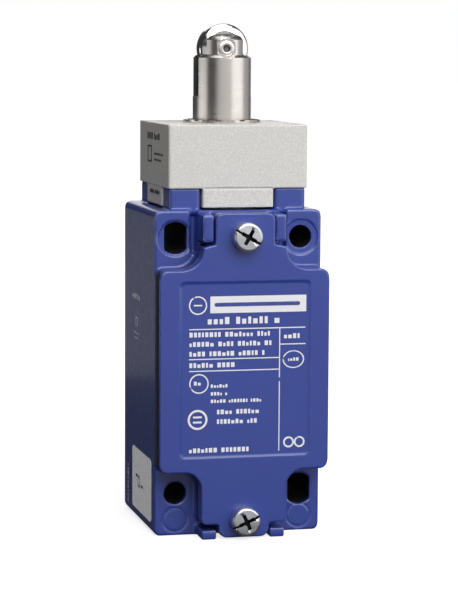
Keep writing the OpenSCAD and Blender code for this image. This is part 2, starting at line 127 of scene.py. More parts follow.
def softbox(name, azimuth, distance, span, size, radiance, aim_z=None):
    """A softbox round the plunger axis, azimuth degrees right of the front.

    Its middle is half way up span, a pair of heights. It stands upright, or leans to look at aim_z.
    """
    width, height = size
    turn = math.radians(azimuth)
    middle = sum(span) / 2
    data = bpy.data.lights.new(name, "AREA")
    data.shape = "RECTANGLE"
    data.size, data.size_y = width * MM, height * MM
    data.energy = radiance * math.pi * width * height * MM * MM
    light = bpy.data.objects.new(name, data)
    bpy.context.scene.collection.objects.link(light)
    light.location = mm(distance * math.sin(turn), AXIS_Y - distance * math.cos(turn), middle)
    target = mm(0, AXIS_Y, middle if aim_z is None else aim_z)
    light.rotation_euler = (target - light.location).to_track_quat("-Z", "Y").to_euler()
    light.visible_camera = False


def make_lights():
    softbox("key", 51.5, 600, (-60, 560), (572, 620), 1.6)
    softbox("top_front", 4, 560, (380, 500), (640, 460), 4.55, 20)
    softbox("overhead", -10, 90, (560, 640), (420, 380), 1.7, 60)
    softbox("low_front", -4, 1000, (-260, 160), (1150, 420), 0.6)
    softbox("left_panel", -96, 500, (-50, 75), (400, 125), 1.7)
    softbox("left_card", -156, 230, (-38, 22), (120, 60), 0.15)
    softbox("right_card", 98, 600, (-120, 200), (440, 320), 0.42)
    softbox("back_panel", 160, 700, (4, 420), (540, 416), 1.0)
    softbox("rear_fill", 170, 900, (420, 900), (800, 560), 1.7, 20)


def make_world():
    world = bpy.data.worlds.new("studio")
    world.use_nodes = True
    world.node_tree.nodes["Background"].inputs["Color"].default_value = WORLD_GREY
    bpy.context.scene.world = world


def glowing(name, paper, glow, reach):
    """Pale studio paper that is lit evenly besides, up to full white at reach metres from the object."""
    material = bpy.data.materials.new(name)
    material.use_nodes = True
    nodes, links = material.node_tree.nodes, material.node_tree.links
    shader = nodes["Principled BSDF"]
    shader.inputs["Base Color"].default_value = (paper, paper, paper, 1)
    shader.inputs["Roughness"].default_value = 1
    shader.inputs["Specular IOR Level"].default_value = 0
    shader.inputs["Emission Color"].default_value = (1, 1, 1, 1)
    span = nodes.new("ShaderNodeVectorMath")
    span.operation = "LENGTH"
    fade = nodes.new("ShaderNodeMapRange")
    fade.inputs["From Max"].default_value = reach
    fade.inputs["To Min"].default_value = glow
    links.new(nodes.new("ShaderNodeTexCoord").outputs["Object"], span.inputs[0])
    links.new(span.outputs["Value"], fade.inputs["Value"])
    links.new(fade.outputs["Result"], shader.inputs["Emission Strength"])
    return material


def make_backdrop():
    """A pale floor and a white dome, left out of the reflections."""
    place = (0, 0, BODY_LOW * MM)
    bpy.ops.mesh.primitive_circle_add(vertices=96, radius=STUDIO_R, fill_type="NGON", location=place)
    floor = bpy.context.object
    floor.name = "floor"
    bpy.ops.mesh.primitive_uv_sphere_add(segments=48, ring_count=24, radius=STUDIO_R)
    dome = bpy.context.object
    dome.name = "dome"
    for piece, paper, glow in ((floor, 0.5, 0.72), (dome, 0.0, 1.0)):
        piece.data.materials.append(glowing(piece.name + "_paper", paper, glow, PAPER_REACH))
        piece.visible_glossy = False
        piece.visible_diffuse = False
    dome.visible_shadow = False


# ---------- materials ----------

class Finish:
    """A procedural surface on one Principled shader. Lengths are in millimetres."""

    def __init__(self, name, colour, roughness, metallic=0.0, **sockets):
        self.material = bpy.data.materials.new(name)
        self.material.use_nodes = True
        self.nodes, self.links = self.material.node_tree.nodes, self.material.node_tree.links
        self.shader = self.nodes["Principled BSDF"]
        self.colour, self.roughness = colour, roughness
        self.shader.inputs["Base Color"].default_value = (*colour, 1)
        self.shader.inputs["Roughness"].default_value = roughness
        self.shader.inputs["Metallic"].default_value = metallic
        for socket, value in sockets.items():
            self.shader.inputs[socket.replace("_", " ")].default_value = value
        self.coords = self.nodes.new("ShaderNodeTexCoord").outputs["Object"]
        self.tint = None
        self.normal = None

    def noise(self, size, detail=3.0, stretch=(1, 1, 1), offset=0.0):
        """Noise with features about size across, longer along an axis by stretch."""
        place = self.nodes.new("ShaderNodeMapping")
        place.inputs["Scale"].default_value = [1 / s for s in stretch]
        place.inputs["Location"].default_value = (offset, offset, offset)
        self.links.new(self.coords, place.inputs["Vector"])
        texture = self.nodes.new("ShaderNodeTexNoise")
        texture.inputs["Scale"].default_value = 1 / (size * MM)
        texture.inputs["Detail"].default_value = detail
        self.links.new(place.outputs[0], texture.inputs["Vector"])
        return texture.outputs["Fac"]

    def cells(self, size):
        texture = self.nodes.new("ShaderNodeTexVoronoi")
        texture.inputs["Scale"].default_value = 1 / (size * MM)
        self.links.new(self.coords, texture.inputs["Vector"])
        return texture.outputs["Distance"]

    def spread(self, value, start, end, low_value=0.0, high_value=1.0):
        node = self.nodes.new("ShaderNodeMapRange")
        settings = (start, end, low_value, high_value)
        for socket, number in zip(("From Min", "From Max", "To Min", "To Max"), settings):
            node.inputs[socket].default_value = number
        self.links.new(value, node.inputs["Value"])
        return node.outputs["Result"]

    def blend_colour(self, factor, colour):
        """The surface turns towards colour where factor is 1."""
        node = self.nodes.new("ShaderNodeMixRGB")
        node.inputs[1].default_value = (*self.colour, 1)
        node.inputs[2].default_value = (*colour, 1)
        if self.tint is not None:
            self.links.new(self.tint, node.inputs[1])
        self.links.new(factor, node.inputs[0])
        self.tint = node.outputs[0]
        self.links.new(self.tint, self.shader.inputs["Base Color"])

    def vary_roughness(self, value, change):
        result = self.spread(value, 0.3, 0.7, self.roughness - change, self.roughness + change)
        self.links.new(result, self.shader.inputs["Roughness"])

    def bump(self, height, depth, strength=1.0):
        node = self.nodes.new("ShaderNodeBump")
        node.inputs["Distance"].default_value = depth * MM
        node.inputs["Strength"].default_value = strength
        self.links.new(height, node.inputs["Height"])
        if self.normal is not None:
            self.links.new(self.normal, node.inputs["Normal"])
        self.normal = node.outputs[0]
        self.links.new(self.normal, self.shader.inputs["Normal"])

    def highlit_edges_and_wear(self, colour, start=0.25, end=0.9, amount=0.6):
        """The convex edges that the mesh's convexity attribute marks turn towards colour, unevenly: a painted
        edge highlight, partly standing for rubbed wear.
        """
        edge_convexity = self.nodes.new("ShaderNodeAttribute")
        edge_convexity.attribute_name = "edge_convexity"
        edge = self.spread(edge_convexity.outputs["Fac"], start, end)
        patch = self.spread(self.noise(3.0, 4), 0.35, 0.65, 0.0, amount)
        node = self.nodes.new("ShaderNodeMath")
        node.operation = "MULTIPLY"
        self.links.new(edge, node.inputs[0])
        self.links.new(patch, node.inputs[1])
        self.blend_colour(node.outputs[0], colour)


def enamel():
    look = Finish("blue_enamel", (0.030, 0.058, 0.308), 0.34, Coat_Weight=0.45, Coat_Roughness=0.14)
    look.blend_colour(look.spread(look.noise(18, 2), 0.3, 0.7, 0, 0.5), (0.023, 0.047, 0.268))
    look.blend_colour(look.spread(look.cells(0.35), 0.0, 0.25, 0.16, 0), (0.055, 0.085, 0.34))
    # lighter blue along convex edges: a painted edge highlight
    look.highlit_edges_and_wear((0.20, 0.22, 0.50), amount=0.6)
    look.vary_roughness(look.noise(1.6, 4), 0.05)
    look.bump(look.noise(5.0, 2), 0.030)
    look.bump(look.noise(0.9, 3, offset=0.3), 0.010)
    return look.material


def zamak():
    look = Finish("tumbled_zamak", (0.67, 0.66, 0.63), 0.62, 0.0, Specular_IOR_Level=0.18)
    look.blend_colour(look.spread(look.noise(0.3, 5), 0.38, 0.62, 0, 0.6), (0.52, 0.51, 0.485))
    look.blend_colour(look.spread(look.noise(0.4, 4, offset=0.1), 0.5, 0.68, 0, 0.5), (0.82, 0.81, 0.79))
    # lighter along convex edges: a painted edge highlight, partly rubbed wear
    look.highlit_edges_and_wear((0.75, 0.74, 0.72), amount=0.5)
    look.vary_roughness(look.noise(0.8, 4), 0.08)
    look.bump(look.noise(0.4, 4), 0.03)
    look.bump(look.noise(2.2, 3), 0.02)
    return look.material


def turned_steel():
    look = Finish("turned_steel", (0.64, 0.605, 0.575), 0.31, 1.0)
    fine = look.noise(0.3, 3, stretch=(60, 60, 0.3))
    look.blend_colour(look.spread(fine, 0.3, 0.7, 0, 0.22), (0.50, 0.475, 0.455))
    look.vary_roughness(look.noise(0.6, 3, stretch=(8, 8, 0.6)), 0.04)
    look.bump(fine, 0.0012)
    look.bump(look.noise(2.5, 3), 0.003)
    return look.material


def ground_steel():
    look = Finish("ground_steel", (0.72, 0.70, 0.68), 0.13, 1.0)
    fine = look.noise(0.3, 4, stretch=(30, 0.6, 30))
    look.blend_colour(look.spread(fine, 0.3, 0.7, 0, 0.25), (0.56, 0.54, 0.52))
    look.vary_roughness(look.noise(0.7, 4), 0.05)
    look.bump(fine, 0.002)
    return look.material


def plain_metal(name, colour, roughness, grain=0.4, dark=0.75):
    """Bright plated, stamped or drawn metal with faint blotches and scratches. Given a near-black colour, it
    also serves as painted shade in holes, recesses and slots.
    """
    look = Finish(name, colour, roughness, 1.0)
    look.blend_colour(look.spread(look.noise(1.2, 5), 0.35, 0.7, 0, 0.6), [c * dark for c in colour])
    look.vary_roughness(look.noise(grain, 4), 0.09)
    look.bump(look.noise(grain, 4), 0.005)
    look.bump(look.noise(0.25, 2, stretch=(12, 1, 1)), 0.002)
    return look.material


def moulded(name, colour, roughness, speck=0.25):
    """Moulded plastic or rubber with a fine spark-eroded grain."""
    look = Finish(name, colour, roughness)
    light = [min(1.0, c * 1.35 + 0.01) for c in colour]
    look.blend_colour(look.spread(look.noise(speck, 3), 0.4, 0.7, 0, 0.5), light)
    look.vary_roughness(look.noise(1.5, 3), 0.06)
    look.bump(look.noise(speck, 3), 0.008)
    look.bump(look.noise(4, 2), 0.02)
    return look.material


def silver_film():
    look = Finish("silver_film", (0.93, 0.93, 0.95), 0.3, 0.12, Sheen_Weight=1.0, Sheen_Roughness=0.45)
    look.blend_colour(look.spread(look.noise(2.5, 3), 0.35, 0.7, 0, 0.3), (0.86, 0.86, 0.89))
    look.vary_roughness(look.noise(1.0, 4), 0.05)
    look.bump(look.noise(3.0, 2), 0.01)
    return look.material


def ink():
    look = Finish("white_ink", (0.84, 0.84, 0.85), 0.5)
    look.blend_colour(look.spread(look.noise(0.35, 4), 0.45, 0.75, 0, 0.4), (0.68, 0.70, 0.78))
    look.bump(look.noise(0.3, 2), 0.004)
    return look.material


def dark_mark(name, colour):
    look = Finish(name, colour, 0.6)
    look.blend_colour(look.spread(look.noise(0.5, 4), 0.4, 0.7, 0, 0.5), [c * 2 for c in colour])
    look.bump(look.noise(0.3, 2), 0.004)
    return look.material


def make_materials():
    return {
        "body_paint": enamel(),
        "head_zamak": zamak(),
        "turned_steel": turned_steel(),
        "ground_steel": ground_steel(),
        "pressed_steel": plain_metal("pressed_steel", (0.66, 0.63, 0.58), 0.22),
        "zinc_steel": plain_metal("zinc_steel", (0.66, 0.68, 0.72), 0.36, 1.2, 0.88),
        "spring_steel": plain_metal("spring_steel", (0.42, 0.42, 0.43), 0.28),
        "sintered_bronze": plain_metal("sintered_bronze", (0.50, 0.31, 0.15), 0.45, 0.2),
        "contact_brass": plain_metal("contact_brass", (0.78, 0.57, 0.27), 0.26),
        "silver_tip": plain_metal("silver_tip", (0.82, 0.81, 0.78), 0.25),
        "seal_rubber": moulded("seal_rubber", (0.020, 0.019, 0.020), 0.55),
        "black_plastic": moulded("black_plastic", (0.030, 0.030, 0.033), 0.42),
        "clear_white_plastic": moulded("white_plastic", (0.72, 0.71, 0.66), 0.4),
        "natural_plastic": moulded("natural_acetal", (0.74, 0.70, 0.60), 0.38),
        "red_plastic": moulded("red_plastic", (0.45, 0.055, 0.035), 0.38),
        "label_film": silver_film(),
        # near-black steel on the plunger's slot walls and the pin's crater: painted shade
        "painted_shade_steel": plain_metal("painted_shade_steel", (0.13, 0.12, 0.115), 0.5),
        # near-black metal in the screws' cross recesses and slots: painted shade
        "recess_painted_shade": plain_metal("recess_painted_shade", (0.035, 0.035, 0.038), 0.55),
        "ink": ink(),
        "blue_ink": dark_mark("blue_ink", (0.035, 0.055, 0.25)),
        "grey_ink": dark_mark("grey_ink", (0.055, 0.052, 0.05)),
        "pale_ink": dark_mark("pale_ink", (0.5, 0.5, 0.54)),
        # near-black metal on the walls of the through holes: painted shade
        "bore_painted_shade": plain_metal("bore_painted_shade", (0.05, 0.043, 0.04), 0.7),
    }


# ---------- mesh tools ----------

def add_piece(name, mesh, body, materials, replaces=(), crease=180):
    """Links a finished mesh, in metres in the row frame, as a piece on a body.

    Edges sharper than crease degrees stay sharp. Faces keep their index into a list of materials.
    """
    materials = materials if isinstance(materials, list) else [materials]
    kept = [p.material_index if len(materials) > 1 else 0 for p in mesh.polygons]
    mesh.materials.clear()
    for material in materials:
        mesh.materials.append(material)
    mesh.polygons.foreach_set("material_index", kept)
    mesh.shade_smooth()
    if crease < 180:
        mesh.set_sharp_from_angle(angle=math.radians(crease))
    piece = bpy.data.objects.new(name, mesh)
    normals = piece.modifiers.new("normals", "WEIGHTED_NORMAL")
    normals.keep_sharp = True
    bpy.context.scene.collection.objects.link(piece)
    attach(piece, body)
    if replaces:
        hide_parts(*replaces)
    return piece


def finished(name, mesh, *modifiers):
    """The mesh after modifiers, each a (type, settings) pair, as a new mesh."""
    holder = bpy.data.objects.new(name, mesh)
    bpy.context.scene.collection.objects.link(holder)
    for kind, settings in modifiers:
        modifier = holder.modifiers.new(kind.lower(), kind)
        for key, value in settings.items():
            setattr(modifier, key, value)
    bpy.context.view_layer.update()
    result = bpy.data.meshes.new_from_object(holder.evaluated_get(bpy.context.evaluated_depsgraph_get()))
    bpy.data.objects.remove(holder)
    result.name = name
    return result


def mesh_from(name, verts, faces):
    """A mesh from points in millimetres."""
    mesh = bpy.data.meshes.new(name)
    mesh.from_pydata([Vector(v) * MM for v in verts], [], faces)
    mesh.update()
    return mesh


def lathe(name, profile, steps=96, closed=False):
    """A profile of (radius, height) points turned about Z. A closed profile makes a ring."""
    verts, faces = [], []
    count = len(profile)
    for i in range(steps):
        a = math.tau * i / steps
        verts += [(r * math.cos(a), r * math.sin(a), z) for r, z in profile]
    spans = count if closed else count - 1
    for i in range(steps):
        for k in range(spans):
            a, b = i * count + k, i * count + (k + 1) % count
            c, d = (i + 1) % steps * count + (k + 1) % count, (i + 1) % steps * count + k
            faces.append((a, d, c, b))
    mesh = mesh_from(name, verts, faces)
    work = bmesh.new()
    work.from_mesh(mesh)
    bmesh.ops.remove_doubles(work, verts=work.verts, dist=1e-7)
    bmesh.ops.recalc_face_normals(work, faces=work.faces)
    work.to_mesh(mesh)
    work.free()
    return mesh


def rounded_profile(points, radius, steps=4):
    """The open profile with each inner corner rounded by radius, which may be a list."""
    result = [points[0]]
    for i in range(1, len(points) - 1):
        before, here, after = (Vector(points[k]) for k in (i - 1, i, i + 1))
        r = radius[i] if isinstance(radius, (list, tuple)) else radius
        a = here + (before - here).normalized() * min(r, (before - here).length * 0.45)
        b = here + (after - here).normalized() * min(r, (after - here).length * 0.45)
        for k in range(steps + 1):
            t = k / steps
            result.append(tuple(a * (1 - t) ** 2 + here * (2 * t * (1 - t)) + b * t * t))
    return result + [points[-1]]


def box_mesh(name, size, place=(0, 0, 0), turn=0.0):
    """A box of size about place, turned about Z by degrees."""
    work = bmesh.new()
    bmesh.ops.create_cube(work, size=1)
    bmesh.ops.scale(work, verts=work.verts, vec=Vector(size) * MM)
    bmesh.ops.rotate(work, verts=work.verts, matrix=Matrix.Rotation(math.radians(turn), 3, "Z"))
    bmesh.ops.translate(work, verts=work.verts, vec=mm(*place))
    mesh = bpy.data.meshes.new(name)
    work.to_mesh(mesh)
    work.free()
    return mesh


def joined(name, meshes):
    work = bmesh.new()
    for mesh in meshes:
        work.from_mesh(mesh)
    result = bpy.data.meshes.new(name)
    work.to_mesh(result)
    work.free()
    return result


def cut(name, mesh, cutters):
    """The mesh with each cutter mesh taken away."""
    tool = bpy.data.objects.new(name + "_cutter", joined(name + "_cutter", cutters))
    bpy.context.scene.collection.objects.link(tool)
    result = finished(name, mesh, ("BOOLEAN", {"operation": "DIFFERENCE", "object": tool, "solver": "EXACT",
                                               "use_self": True}))
    bpy.data.objects.remove(tool)
    return result


def bevelled(name, mesh, width, steps=2, angle=30):
    """The mesh with flat faces merged and its sharp edges rounded."""
    work = bmesh.new()
    work.from_mesh(mesh)
    bmesh.ops.remove_doubles(work, verts=work.verts, dist=1e-6)
    bmesh.ops.dissolve_limit(work, angle_limit=math.radians(1), verts=work.verts, edges=work.edges)
    merged = bpy.data.meshes.new(name)
    work.to_mesh(merged)
    work.free()
    settings = {"width": width * MM, "segments": steps, "limit_method": "ANGLE",
                "angle_limit": math.radians(angle), "harden_normals": True, "use_clamp_overlap": True}
    return finished(name, merged, ("BEVEL", settings))


def positions(mesh):
    points = np.empty(len(mesh.vertices) * 3)
    mesh.vertices.foreach_get("co", points)
    return points.reshape(-1, 3) / MM


def set_positions(mesh, points):
    mesh.vertices.foreach_set("co", (points * MM).astype(np.float32).ravel())
    mesh.update()


def edge_ends(mesh):
    """The point at each end of every edge, as two arrays of indices."""
    ends = np.empty(len(mesh.edges) * 2, np.int64)
    mesh.edges.foreach_get("vertices", ends)
    return ends[0::2], ends[1::2]


def edge_counts(a, b, count):
    """How many edges end at each point, at least 1."""
    return np.maximum(np.bincount(a, minlength=count) + np.bincount(b, minlength=count), 1)


def relax(mesh, rounds, weight):
    """Moves each point towards its neighbours' mean, by weight, rounds times, which rounds the edges."""
    points = positions(mesh)
    a, b = edge_ends(mesh)
    count = len(points)
    degree = edge_counts(a, b, count)
    for _ in range(rounds):
        for k in range(3):
            total = np.bincount(a, points[b, k], count) + np.bincount(b, points[a, k], count)
            points[:, k] += 0.5 * weight * (total / degree - points[:, k])
    set_positions(mesh, points)


def mark_edges(mesh):
    """Stores how far each point stands out from its neighbours as a convexity attribute, from 0 on a flat to
    1, which the finishes use for painted edge highlights.
    """
    points = positions(mesh)
    normals = np.empty(len(points) * 3, np.float32)
    mesh.vertex_normals.foreach_get("vector", normals)
    normals = normals.reshape(-1, 3)
    a, b = edge_ends(mesh)
    step = points[a] - points[b]
    step /= np.maximum(np.linalg.norm(step, axis=1), 1e-6)[:, None]
    count = len(points)
    total = np.bincount(a, (normals[a] * step).sum(1), count)
    total -= np.bincount(b, (normals[b] * step).sum(1), count)
    mean = total / edge_counts(a, b, count)
    flat, rise = 0.02, 0.12
    edge_convexity = mesh.attributes.new("edge_convexity", "FLOAT", "POINT")
    edge_convexity.data.foreach_set("value", np.clip((mean - flat) / rise, 0, 1).astype(np.float32))


def cast_shell(node, voxel, rounds, weight, shape=None, keep=0.25, planes=()):
    """A CAD node's mesh with cast edges.

    It is rebuilt on a grid of voxel mm, relaxed rounds times by weight, and given its small shapes. Then it
    is thinned out to a share keep of its faces, and made true on planes, which are (axis, value) pairs.
    """
    source = frame["nodes"][node].data.copy()
    mesh = finished(node + "_grid", source, ("REMESH", {"mode": "VOXEL", "voxel_size": voxel * MM}))
    relax(mesh, rounds, weight(positions(mesh)))
    if shape:
        set_positions(mesh, shape(positions(mesh)))
    thinned = finished(node + "_cast", mesh, ("DECIMATE", {"ratio": keep}))
    snap = 0.04
    points = positions(thinned)
    for axis, value in planes:
        flat = np.abs(points[:, axis] - value) < snap
        points[flat, axis] = value
    set_positions(thinned, points)
    mark_edges(thinned)
    return thinned


def near(points, x, z, inner, outer):
    """0 within inner of the line at x, z along Y, 1 beyond outer."""
    span = np.hypot(points[:, 0] - x, points[:, 2] - z)
    return np.clip((span - inner) / (outer - inner), 0, 1)


# ---------- casing ----------

def housing_weight(points):
    weight = np.ones(len(points))
    for x, z in FIXING:
        weight = np.minimum(weight, 0.06 + 0.94 * near(points, x, z, 4.2, 4.8))
    weight[points[:, 2] > BODY_TOP + 0.6] *= 0.3
    entry = np.hypot(points[:, 0], points[:, 1] - ENTRY_Y)
    weight[(entry < ENTRY_R + 1.2) & (points[:, 2] < -20)] *= 0.1
    return weight


def press_ring(points, x, z, radius, width, depth, reach):
    """Sinks a soft ring about x, z into the ears, where points are within reach of their front face."""
    span = np.hypot(points[:, 0] - x, points[:, 2] - z)
    face = np.abs(points[:, 1] - EAR_Y) < reach
    points[:, 1] += np.where(face, depth * np.exp(-((span - radius) / width) ** 2), 0)


def housing_shape(points):
    """Opens the cable entry to the thread's outer radius and presses rings into the ears.

    Those on the lower ears are ejector marks, and those on the upper ones go round the fixing holes.
    """
    outer, bore_top = ENTRY_R + 0.75, -27.8
    r = np.hypot(points[:, 0], points[:, 1] - ENTRY_Y)
    bore = (points[:, 2] < bore_top) & (points[:, 2] > BODY_LOW - 0.1)
    wall = (r > ENTRY_R - 0.25) & (r < outer) & bore
    grow = np.where(wall, outer / np.maximum(r, 1), 1)
    points[:, 0] *= grow
    points[:, 1] = ENTRY_Y + (points[:, 1] - ENTRY_Y) * grow
    for x in (-15, 15):
        press_ring(points, x, EJECTOR_Z, 2.8, 0.28, 0.16, 0.3)
    for x, z in FIXING[:2]:
        press_ring(points, x, z, 4.05, 0.22, 0.22, 0.55)
    return points


def cover_weight(points):
    weight = np.ones(len(points))
    weight[points[:, 1] > FRONT_Y + 1.5] = 0.2
    for z in SCREW_Z:
        weight = np.minimum(weight, 0.05 + 0.95 * near(points, 0, z, 2.8, 3.4))
    return weight


def head_weight(points):
    weight = np.where(points[:, 2] < TOWER_TOP - 0.2, 0.25, 0.8)
    r = np.hypot(points[:, 0], points[:, 1] - AXIS_Y)
    weight[r < 11.5] = 0.05
    across, along = np.abs(points[:, 0]), np.abs(points[:, 1] - AXIS_Y)
    weight[np.hypot(across - HEAD_SCREW_AT, along - HEAD_SCREW_AT) < 4.0] = 0.08
    return weight


def head_shape(points):
    """The fine groove where the block stands on its skirt."""
    line = np.abs(points[:, 2] - TOWER_TOP) < 0.11
    wide = line & (np.abs(points[:, 0]) > 16) & (np.abs(points[:, 1] - AXIS_Y) < 8.4)
    deep = line & (np.abs(points[:, 1] - AXIS_Y) > 16.4) & (np.abs(points[:, 0]) < 8.4)
    points[wide, 0] -= 0.3 * np.sign(points[wide, 0])
    points[deep, 1] -= 0.3 * np.sign(points[deep, 1] - AXIS_Y)
    return points


def in_fixing_hole(face):
    """True for a face on the wall of a through hole, a little way in from either end."""
    middle = face.center / MM
    deep = EAR_Y + 1.4 < middle.y < -0.6
    return deep and any(math.hypot(middle.x - x, middle.z - z) < 3.75 for x, z in FIXING)


def make_casing(paint, bore, zamak_look):
    flats = [(0, BODY_SIDE), (0, -BODY_SIDE), (1, EAR_Y), (2, BODY_TOP), (2, BODY_LOW), (2, TOWER_TOP)]
    housing = cast_shell("body_housing", 0.26, 8, housing_weight, housing_shape, 0.16, flats)
    # The walls of the through holes take the second, near-black finish: painted shade deep in the holes.
    for face in housing.polygons:
        face.material_index = 1 if in_fixing_hole(face) else 0
    add_piece("housing_casting", housing, "housing", [paint, bore], ["body_housing"])
    cover = cast_shell("cover", 0.20, 14, cover_weight, keep=0.3, planes=[(1, FRONT_Y), (1, PANEL_Y)])
    add_piece("cover_casting", cover, "housing", paint, ["cover"])
    block = [(0, low("head_housing").x), (0, high("head_housing").x), (2, HEAD_TOP),
             (1, low("head_housing").y), (1, high("head_housing").y)]
    head = cast_shell("head_housing", 0.20, 6, head_weight, head_shape, planes=block)
    add_piece("head_casting", head, "housing", zamak_look, ["head_housing"])


def make_entry_thread(paint):
    """The 1.5 mm pitch ridge inside the cable entry."""
    pitch, start, end = 1.5, BODY_LOW + 1.2, -28.6
    turns = (end - start - pitch) / pitch
    steps = int(turns * 96)
    root, depth = ENTRY_R + 0.8, 0.78
    root_half, crest_half = 0.66, 0.1
    verts, faces = [], []
    for i in range(steps + 1):
        t = i / steps
        a = math.tau * turns * t
        rise = start + pitch / 2 + pitch * turns * t
        taper = min(1, t * turns * 3, (1 - t) * turns * 3)
        crest = ENTRY_R + depth - depth * taper
        for r, dz in ((root, -root_half), (crest, -crest_half), (crest, crest_half), (root, root_half)):
            verts.append((r * math.cos(a), ENTRY_Y + r * math.sin(a), rise + dz))
    for i in range(steps):
        for k in range(4):
            a, b = i * 4 + k, i * 4 + (k + 1) % 4
            faces.append((a, b, b + 4, a + 4))
    faces += [(3, 2, 1, 0), tuple(steps * 4 + k for k in range(4))]
    add_piece("entry_thread", mesh_from("entry_thread", verts, faces), "housing", paint)


# ---------- screws ----------

def recessed_head(name, radius, height, dome, wing, slot):
    """A pan head on Z with its top at 0 and a cross recess of half length wing.

    A slot above 0 is the width of a slot cut across it.
    """
    profile = [(0, 0), (radius - 0.45, -dome * 0.4), (radius - 0.12, -dome), (radius, -dome - 0.4),
               (radius, -height), (0, -height)]
    head = lathe(name, rounded_profile(profile, [0, 0.25, 0.2, 0.2, 0.1, 0]), 96)
    blade, sunk = 0.85, 3.4
    cutters = [box_mesh("wing", (wing * 2, blade, sunk), turn=turn) for turn in (0, 90)]
    cutters.append(box_mesh("core", (1.5, 1.5, 3.8), turn=45))
    if slot:
        cutters.append(box_mesh("slot", (radius * 2.4, slot, 1.9)))
    head = bevelled(name, cut(name, head, cutters), 0.04, 1, 40)
    # Faces down in the cross recess and in the slot take the second, near-black finish: painted shade in the
    # recess.
    for face in head.polygons:
        middle = face.center / MM
        below = -height + 0.1 < middle.z < -dome * 0.4 - 0.12
        slotted = abs(middle.y) < slot / 2 + 0.02 and -1.1 < middle.z < -dome * 0.4 - 0.05
        recess = below and math.hypot(middle.x, middle.y) < radius - 0.5
        face.material_index = 1 if recess or slotted else 0
    return head


def placed(mesh, place, turn=0.0, axis="front"):
    """Turns a mesh on Z about its axis by degrees, points it at the front or up, and moves it to place."""
    spin = Matrix.Rotation(math.radians(turn), 4, "Z")
    tip = Matrix.Rotation(math.radians(90), 4, "X") if axis == "front" else Matrix.Identity(4)
    mesh.transform(Matrix.Translation(mm(*place)) @ tip @ spin)
    return mesh


def make_screws(zinc):
    parts = []
    tops = (low("cover_screws").y + 0.3, low("cover_screws").y)
    for z, top, turn in zip(SCREW_Z, tops, (24, -30)):
        head = recessed_head("cover_screw", COVER_SCREW_R, FRONT_Y - top, 0.35, 1.9, 0.5)
        parts.append(placed(head, (0, top, z), turn))
        profile = [(0, -0.02), (1.58, -0.02), (1.58, -12.5), (1.1, -13.4), (0, -13.4)]
        shank = lathe("shank", rounded_profile(profile, 0.2), 48)
        parts.append(placed(shank, (0, FRONT_Y, z)))
    pair = joined("cover_screw_pair", parts)
    add_piece("cover_screw_pair", pair, "housing", zinc, ["cover_screws"], 35)
    parts = []
    for x, y in ((1, 1), (-1, 1), (1, -1), (-1, -1)):
        place = (x * HEAD_SCREW_AT, AXIS_Y + y * HEAD_SCREW_AT, high("head_screws").z)
        head = recessed_head("head_screw", 3.0, 2.7, 0.3, 1.6, 0)
        parts.append(placed(head, place, 20 * x + 35 * y, "up"))
        shank = lathe("shank", [(0, -2.72), (1.38, -2.72), (1.38, -19.9), (1.0, -20.4), (0, -20.4)], 32)
        parts.append(placed(shank, place, 0, "up"))
    four = joined("head_screw_set", parts)
    add_piece("head_screw_set", four, "housing", zinc, ["head_screws"], 35)


# ---------- roller plunger ----------

def make_plunger(steel, ground):
    body = bevelled("plunger_turned", frame["nodes"]["roller_plunger"].data.copy(), 0.16, 3, 28)
    half_slot = 2.9
    for face in body.polygons:
        # The slot's walls that face the roller take the second, near-black finish: painted shade between the
        # ears and the roller.
        middle = face.center / MM
        shaded_slot_wall = abs(middle.y - AXIS_Y) < half_slot and abs(face.normal.y) > 0.9 and middle.z > 62
        face.material_index = 1 if shaded_slot_wall else 0
    add_piece("plunger_turned", body, "plunger", steel, ["roller_plunger"], 35)

    radius, half = (high("roller").z - low("roller").z) / 2, (high("roller").y - low("roller").y) / 2
    hub = 2.06
    side = [(hub, half - 0.3), (hub + 0.3, half), (4.3, half), (radius - 0.35, half - 0.55),
            (radius, half - 0.95)]
    rim = [(r, -y) for r, y in side] + [(r, y) for r, y in reversed(side)] + [(hub, 0)]
    profile = rounded_profile(rim, 0.3, 5)[1:]
    wheel = placed(lathe("roller_ground", profile, 144, True), (0, AXIS_Y, AXLE_Z))
    add_piece("roller_ground", wheel, "roller", ground, ["roller"])

    half = (high("roller_pin").y - low("roller_pin").y) / 2
    end = [(0, half - 0.45), (0.5, half - 0.45), (0.95, half - 0.02), (1.3, half), (1.95, half - 0.12),
           (2.0, half - 0.45)]
    profile = rounded_profile(end + [(r, -z) for r, z in reversed(end)], 0.12, 3)
    pin = lathe("pin_riveted", profile, 72)
    # The crater in the middle of the riveted end takes the near-black finish: painted shade in the crater.
    for face in pin.polygons:
        middle = face.center / MM
        face.material_index = 1 if math.hypot(middle.x, middle.y) < 0.75 else 0
    pin = placed(pin, (0, AXIS_Y, AXLE_Z))
    add_piece("pin_riveted", pin, "plunger", steel, ["roller_pin"])


